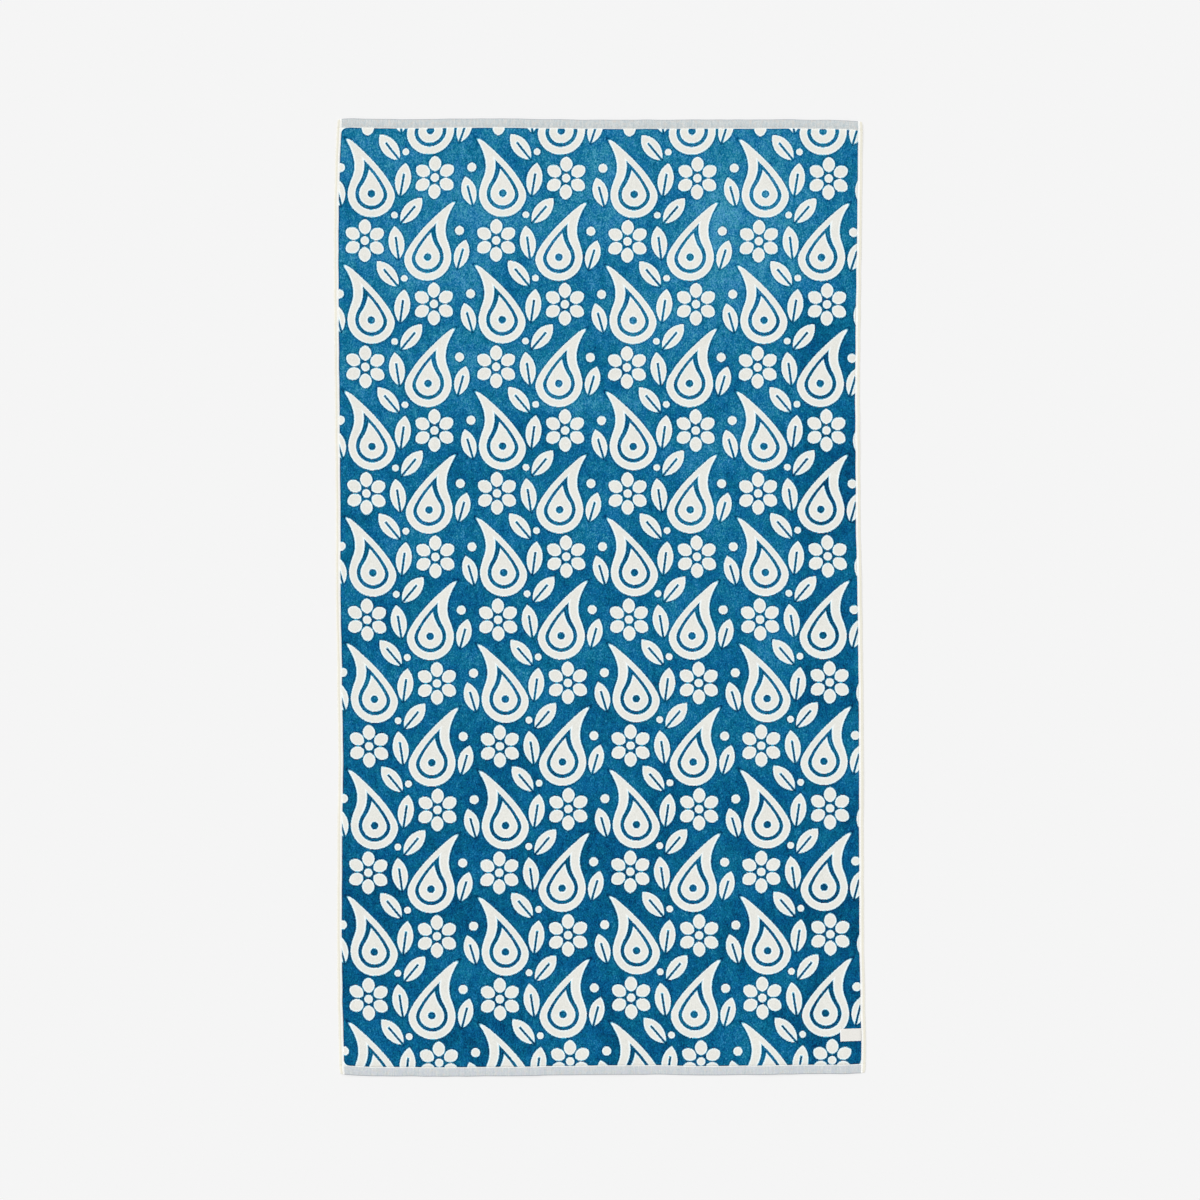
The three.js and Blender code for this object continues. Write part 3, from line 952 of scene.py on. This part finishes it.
def towel_cloth(face_pile, back_loops, end_hem, side_hem):
    """One closed sheet: its face and underside share a grid, and a narrow rim joins them."""
    columns = stations(FLAT_WIDTH, SIDE_SECTION, PILE_CELL)
    rows = stations(FLAT_LENGTH, END_SECTION, PILE_CELL)
    across, along = (a.ravel() for a in np.meshgrid(columns, rows))
    x, y = laid(across, along)
    face, under = heights(across, along, x, y)
    points = np.concatenate([np.stack([x, y, face], 1), np.stack([x, y, under], 1)])

    wide, high = len(columns), len(rows)
    back = wide * high
    grid = np.arange(back).reshape(high, wide)
    a, b, c, d = grid[:-1, :-1], grid[:-1, 1:], grid[1:, 1:], grid[1:, :-1]
    face_quads = np.stack([a, b, c, d], -1).reshape(-1, 4)
    under_quads = np.stack([a, d, c, b], -1).reshape(-1, 4) + back
    bottom, top, left, right = grid[0], grid[-1], grid[:, 0], grid[:, -1]
    rim_quads = np.concatenate(
        [
            np.stack([bottom[:-1] + back, bottom[1:] + back, bottom[1:], bottom[:-1]], -1),
            np.stack([top[1:] + back, top[:-1] + back, top[:-1], top[1:]], -1),
            np.stack([left[1:] + back, left[:-1] + back, left[:-1], left[1:]], -1),
            np.stack([right[:-1] + back, right[1:] + back, right[1:], right[:-1]], -1),
        ]
    )
    quads = np.concatenate([face_quads, under_quads, rim_quads])

    # Each face takes its material from where its middle lies
    both_across, both_along = np.tile(across, 2), np.tile(along, 2)
    middle_across = both_across[quads].mean(1)
    middle_along = both_along[quads].mean(1)
    materials = [face_pile, back_loops, end_hem, side_hem]
    on_face, on_back, on_end, on_side = range(4)
    kinds = np.full(len(quads), on_face)
    kinds[len(face_quads) : len(face_quads) + len(under_quads)] = on_back
    kinds[from_ends(middle_along) < END_HEM_EDGE] = on_end
    kinds[from_sides(middle_across) < SIDE_HEM_EDGE] = on_side
    cloth = piece_from("towel_cloth", points, quads.tolist(), materials, kinds)
    mesh = cloth.data
    spot = mesh.attributes.new("cloth_mm", "FLOAT_VECTOR", "POINT")
    spot.data.foreach_set("vector", np.stack([both_across, both_along, 0 * both_along], 1).ravel())
    # Painted sheen and painted shade of the way the pile lies, kept on the mesh for the face
    beyond = np.clip((x - OLD_FOLD_X[0]) / (OLD_FOLD_X[1] - OLD_FOLD_X[0]), 0, 1)
    lighter = eased(SHEEN_ALONG, y) + beyond * eased(SHADE_BEYOND_FOLD, y)
    lighter = lighter + sum(row[5] * swell(row, x, y) for row in BRUSHED_SHEEN)
    lighter = lighter + SHEEN_DRIFT["lighter"] * waves(x, y, SHEEN_DRIFT["size"], seed=21)
    painted_sheen = mesh.attributes.new("nap_sheen", "FLOAT", "POINT")
    painted_sheen.data.foreach_set("value", np.tile(lighter, 2).ravel())
    lay_out_map(mesh, quads, len(face_quads), len(under_quads), both_across, both_along)
    return cloth


# The map that the finish is baked through: the face at the left, the back beside it
MAP_MARGIN = 0.004
RIM_WIDTH = 0.002


def lay_out_map(mesh, quads, face_count, under_count, across, along):
    """The map's layer, in which each part of the cloth has its own place."""
    scale = (0.5 - 2 * MAP_MARGIN) / FLAT_WIDTH
    corners = quads.ravel()
    u = across[corners] * scale + MAP_MARGIN
    v = along[corners] * scale + MAP_MARGIN
    kind = np.repeat(np.arange(len(quads)), 4)
    on_back = (kind >= face_count) & (kind < face_count + under_count)
    u[on_back] += 0.5

    # The rim's lower side is drawn just outside the face's edge
    lower_rim = (kind >= face_count + under_count) & (corners >= len(across) // 2)
    away_u = np.sign(across[corners] - FLAT_WIDTH / 2) * (from_sides(across[corners]) == 0)
    away_v = np.sign(along[corners] - FLAT_LENGTH / 2) * (from_ends(along[corners]) == 0)
    u[lower_rim] += RIM_WIDTH * away_u[lower_rim]
    v[lower_rim] += RIM_WIDTH * away_v[lower_rim]
    layer = mesh.uv_layers.new(name="OFBake")
    layer.data.foreach_set("uv", np.stack([u, v], 1).ravel())


# Lockstitch: one short thread hump after another
STITCH_PITCH = 3.0
STITCH_LENGTH = 2.5
THREAD_RADIUS = 0.27
THREAD_SIDES = 6
STITCH_SLANT = 0.1
STITCH_STRAY = {"slant": 0.05, "height": 0.02, "thick": 0.08}
CAP_REACH = 0.1
# Along one stitch: (share of its length, share of the thread's radius, height over the cloth)
STITCH_SECTION = [
    (0.04, 0.5, -0.12),
    (0.2, 0.95, 0.08),
    (0.5, 1.0, 0.16),
    (0.8, 0.95, 0.08),
    (0.96, 0.5, -0.12),
]
# The rows across the ends stop this far from the side hems, and the long rows this far from the ends
END_ROW_SHORT = 1.0
SIDE_ROW_SHORT = 3.0


def stitch_row(places, ahead, aside, surface, seed):
    """The points and faces of a row of stitches. places are their middles, and surface the heights there."""
    draw = np.random.RandomState(seed)
    count, rings = len(places), len(STITCH_SECTION)
    shares, radii, humps = np.array(STITCH_SECTION).T
    slant = draw.normal(0, STITCH_STRAY["slant"], (count, 1)) + STITCH_SLANT
    reach = (shares - 0.5)[None, :] * STITCH_LENGTH
    centre = places[:, None, :] + reach[..., None] * ahead + (reach * slant)[..., None] * aside
    run = centre[..., 0] * ahead[0] + centre[..., 1] * ahead[1]
    level = np.interp(run, ahead @ places.T, surface) + humps
    level = level + draw.normal(0, STITCH_STRAY["height"], (count, 1))
    turn = np.arange(THREAD_SIDES) * 2 * math.pi / THREAD_SIDES
    thick = draw.uniform(1 - STITCH_STRAY["thick"], 1 + STITCH_STRAY["thick"], (count, 1, 1))
    radius = radii[None, :, None] * THREAD_RADIUS * thick
    ring_xy = centre[:, :, None, :] + (radius * np.cos(turn))[..., None] * aside
    ring_z = level[:, :, None] + radius * np.sin(turn)
    ring = np.concatenate([ring_xy, ring_z[..., None]], -1).reshape(count, -1, 3)
    ends_xy = centre[:, [0, -1], :] + np.array([[-CAP_REACH], [CAP_REACH]]) * ahead
    ends = np.concatenate([ends_xy, level[:, [0, -1], None]], -1)
    points = np.concatenate([ring, ends], 1)
    each = points.shape[1]

    quads, caps = [], []
    for r in range(rings - 1):
        for k in range(THREAD_SIDES):
            n = (k + 1) % THREAD_SIDES
            low, high = r * THREAD_SIDES, (r + 1) * THREAD_SIDES
            quads.append((low + k, low + n, high + n, high + k))
    last = (rings - 1) * THREAD_SIDES
    for k in range(THREAD_SIDES):
        n = (k + 1) % THREAD_SIDES
        caps.append((each - 2, n, k))
        caps.append((each - 1, last + k, last + n))
    starts = np.arange(count) * each
    faces = [tuple(i + start for i in face) for start in starts for face in quads + caps]
    return points.reshape(-1, 3), faces


def on_cloth(across, along):
    """The points of the face and of the underside over places of the flat cloth."""
    x, y = laid(across, along)
    face, under = heights(across, along, x, y)
    return x, y, face, under


def hem_stitching(name, rows, thread):
    """Rows of lockstitch in one piece. Each row is a pair of ends on the flat cloth and a seed."""
    points, faces, so_far = [], [], 0
    for start, end, seed in rows:
        start, end = np.array(start, dtype=float), np.array(end, dtype=float)
        length = np.hypot(*(end - start))
        count = int(length / STITCH_PITCH)
        share = (np.arange(count) + 0.5) / count
        spots = start + share[:, None] * (end - start)
        ahead = (end - start) / length
        aside = np.array([-ahead[1], ahead[0]])
        x, y, face, under = on_cloth(spots[:, 0], spots[:, 1])
        middles = np.stack([x, y], 1)

        # The underside's stitches are made upside down and then turned over
        for level, side in ((face, 1), (under, -1)):
            row_points, row_faces = stitch_row(middles, ahead, side * aside, side * level, seed + side)
            row_points[:, 2] *= side
            points.append(row_points)
            faces += [tuple(i + so_far for i in corners) for corners in row_faces]
            so_far += len(row_points)
    return piece_from(name, np.concatenate(points), faces, [thread])


# The label: woven tape folded double. Its underside: (from the seam, height)
LABEL_Y = -795.0
LABEL_TURN = 1.8
LABEL_THICK = 0.9
TAPE_THICK = 0.34
LABEL_START = 8.3
LABEL_UNDER = [(0.0, 1.5), (0.8, 2.6), (1.7, 3.25), (3.2, 3.5), (23.0, 3.55), (38.5, 4.25)]
# The tape's lower corner curls up, its face waves and its edges stray a little
LABEL_CURL = 0.9
LABEL_WAVE = 0.15
LABEL_WOBBLE = 0.08
TAPE_EDGE = {"wide": 0.4, "thin": 0.35}
FOLD_STEPS = 8
TAPE_STEPS = 20
TAPE_ACROSS = 16


def woven_label(tape):
    """A strip that runs out from the seam, folds back, and returns over itself."""
    radius = (LABEL_THICK - TAPE_THICK) / 2
    run = np.linspace(0, LABEL_LENGTH - radius - TAPE_THICK / 2, TAPE_STEPS)
    out = np.stack([run, np.full(TAPE_STEPS, TAPE_THICK / 2)], 1)
    bend = np.linspace(-math.pi / 2, math.pi / 2, FOLD_STEPS + 2)[1:-1]
    fold = np.stack([run[-1] + radius * np.cos(bend), LABEL_THICK / 2 + radius * np.sin(bend)], 1)
    home = np.stack([run[::-1], np.full(TAPE_STEPS, LABEL_THICK - TAPE_THICK / 2)], 1)
    path = np.concatenate([out, fold, home])
    ahead = np.gradient(path, axis=0)
    ahead /= np.hypot(ahead[:, 0], ahead[:, 1])[:, None]
    aside = np.stack([ahead[:, 1], -ahead[:, 0]], 1)
    length = np.concatenate([[0], np.cumsum(np.hypot(*np.diff(path, axis=0).T))])

    steps = len(path)
    span = np.linspace(-1, 1, TAPE_ACROSS + 1)
    half = (1 - np.abs(span)) * LABEL_WIDTH / 2 / TAPE_EDGE["wide"]
    half = np.clip(half, TAPE_EDGE["thin"], 1) * TAPE_THICK / 2
    offset = half[None, :, None] * aside[:, None, :]
    loop = np.stack([path[:, None, :] + offset, path[:, None, :] - offset])
    s, h = loop[..., 0], loop[..., 1]
    v = np.broadcast_to(span, s.shape)
    under = np.interp(s, *np.array(LABEL_UNDER).T)
    curl = LABEL_CURL * np.clip(-v, 0, 1) ** 1.5 + LABEL_WAVE * np.cos(3 * v)
    z = under + h + (np.clip(s, 0, None) / LABEL_LENGTH) ** 2 * curl
    t = math.radians(LABEL_TURN)
    along = (LABEL_Y / LAID_LENGTH + 0.5) * FLAT_LENGTH
    x0, y0 = laid(np.array(FLAT_WIDTH - LABEL_START), np.array(along))
    wide = v * (LABEL_WIDTH / 2 + LABEL_WOBBLE * np.sin(s * 0.9))
    x = x0 - s * math.cos(t) - wide * math.sin(t)
    y = y0 - s * math.sin(t) + wide * math.cos(t)
    points = np.stack([x, y, z], -1).reshape(-1, 3)

    top = np.arange(steps * len(span)).reshape(steps, len(span))
    low = top + top.size
    quads = []
    for i in range(steps - 1):
        for j in range(TAPE_ACROSS):
            quads.append((top[i, j], top[i + 1, j], top[i + 1, j + 1], top[i, j + 1]))
            quads.append((low[i, j], low[i, j + 1], low[i + 1, j + 1], low[i + 1, j]))
        quads.append((top[i, 0], low[i, 0], low[i + 1, 0], top[i + 1, 0]))
        quads.append((top[i, -1], top[i + 1, -1], low[i + 1, -1], low[i, -1]))
    for j in range(TAPE_ACROSS):
        quads.append((top[0, j], top[0, j + 1], low[0, j + 1], low[0, j]))
        quads.append((top[-1, j], low[-1, j], low[-1, j + 1], top[-1, j + 1]))
    label = piece_from("woven_label", points, quads, [tape])
    spot = label.data.attributes.new("cloth_mm", "FLOAT_VECTOR", "POINT")
    run_mm = np.broadcast_to(length[None, :, None], s.shape)
    places = np.stack([v * LABEL_WIDTH / 2, run_mm, 0 * s], -1)
    spot.data.foreach_set("vector", places.reshape(-1, 3).ravel())
    return label


# The room: a pale floor under even, soft light
FLOOR_SIDE = 90.0
FLOOR_LEVEL = -0.3
FLOOR_TONE = dyed(245, 245, 245)
FLOOR_DIM = dyed(240, 240, 240)
FLOOR_GLOW = 0.6
ROOM_LIGHT = 0.62
ROOM_SEEN = FLOOR_TONE[0]
LAMP_STRENGTH = 1.55
LAMP_ANGLE = 45
LAMP_TILT = (-32, -24)


def pale_floor():
    """The floor. It gives off part of its own light, so that shadows on it stay faint."""
    material, tree, shader = new_material("pale_floor", Roughness=0.95, Specular_IOR_Level=0.0)
    where = put(tree, "TexCoord").outputs["Object"]
    faint = noise(tree, scaled(tree, where, 1.0 / MM), 400.0, 2.0)
    tone = blended(tree, maths(tree, "MULTIPLY", faint, 0.02), FLOOR_TONE, FLOOR_DIM)
    feed(tree, scaled(tree, tone, 1.0 - FLOOR_GLOW), shader.inputs["Base Color"])
    feed(tree, tone, shader.inputs["Emission Color"])
    shader.inputs["Emission Strength"].default_value = FLOOR_GLOW
    half = FLOOR_SIDE / 2 / MM
    corners = [(x * half, y * half, FLOOR_LEVEL) for x, y in ((-1, -1), (1, -1), (1, 1), (-1, 1))]
    floor = piece_from("pale_floor", corners, [(0, 1, 2, 3)], [material], smooth=False)


def soft_light():
    """Most light comes from all round, and the rest from a large lamp high at the upper left."""
    world = bpy.data.worlds.new("soft_room")
    world.use_nodes = True
    tree = world.node_tree
    background = tree.nodes["Background"].inputs
    background["Color"].default_value = (1, 1, 1, 1)

    # Seen directly, beyond the floor, the room is as bright as the floor is
    seen = put(tree, "LightPath").outputs["Is Camera Ray"]
    strength = maths(tree, "MULTIPLY_ADD", seen, ROOM_SEEN - ROOM_LIGHT, ROOM_LIGHT)
    feed(tree, strength, background["Strength"])
    bpy.context.scene.world = world
    data = bpy.data.lights.new("soft_lamp", "SUN")
    data.energy = LAMP_STRENGTH
    data.angle = math.radians(LAMP_ANGLE)
    lamp = new_object("soft_lamp", data)
    lamp.rotation_euler = (*(math.radians(turn) for turn in LAMP_TILT), 0)
    bpy.context.scene.view_settings.view_transform = "Standard"


# The room, the finishes, and then the towel's pieces
overhead_camera()
soft_light()
pale_floor()

design = jacquard_design()
pile = pile_sheen_and_grain()
ribs = ribbed_weave()
thread = sewing_thread()

cloth = towel_cloth(
    cut_pile_face(design, pile), uncut_loop_back(design, pile), flat_end_hem(ribs), turned_side_hem(ribs)
)
left, right = SIDE_HEM_EDGE + END_ROW_SHORT, FLAT_WIDTH - SIDE_HEM_EDGE - END_ROW_SHORT
bottom, top = SIDE_ROW_SHORT, FLAT_LENGTH - SIDE_ROW_SHORT
end_rows = [
    ((left, END_STITCH), (right, END_STITCH), 31),
    ((left, FLAT_LENGTH - END_STITCH), (right, FLAT_LENGTH - END_STITCH), 41),
]
side_rows = [
    ((SIDE_STITCH, bottom), (SIDE_STITCH, top), 51),
    ((FLAT_WIDTH - SIDE_STITCH, bottom), (FLAT_WIDTH - SIDE_STITCH, top), 61),
]
end_stitches = hem_stitching("end_hem_stitching", end_rows, thread)
side_stitches = hem_stitching("side_hem_stitching", side_rows, thread)
label = woven_label(woven_tape(ribs))

for piece in (cloth, end_stitches, side_stitches, label):
    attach(piece, "root")
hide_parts("towel")
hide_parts("label")
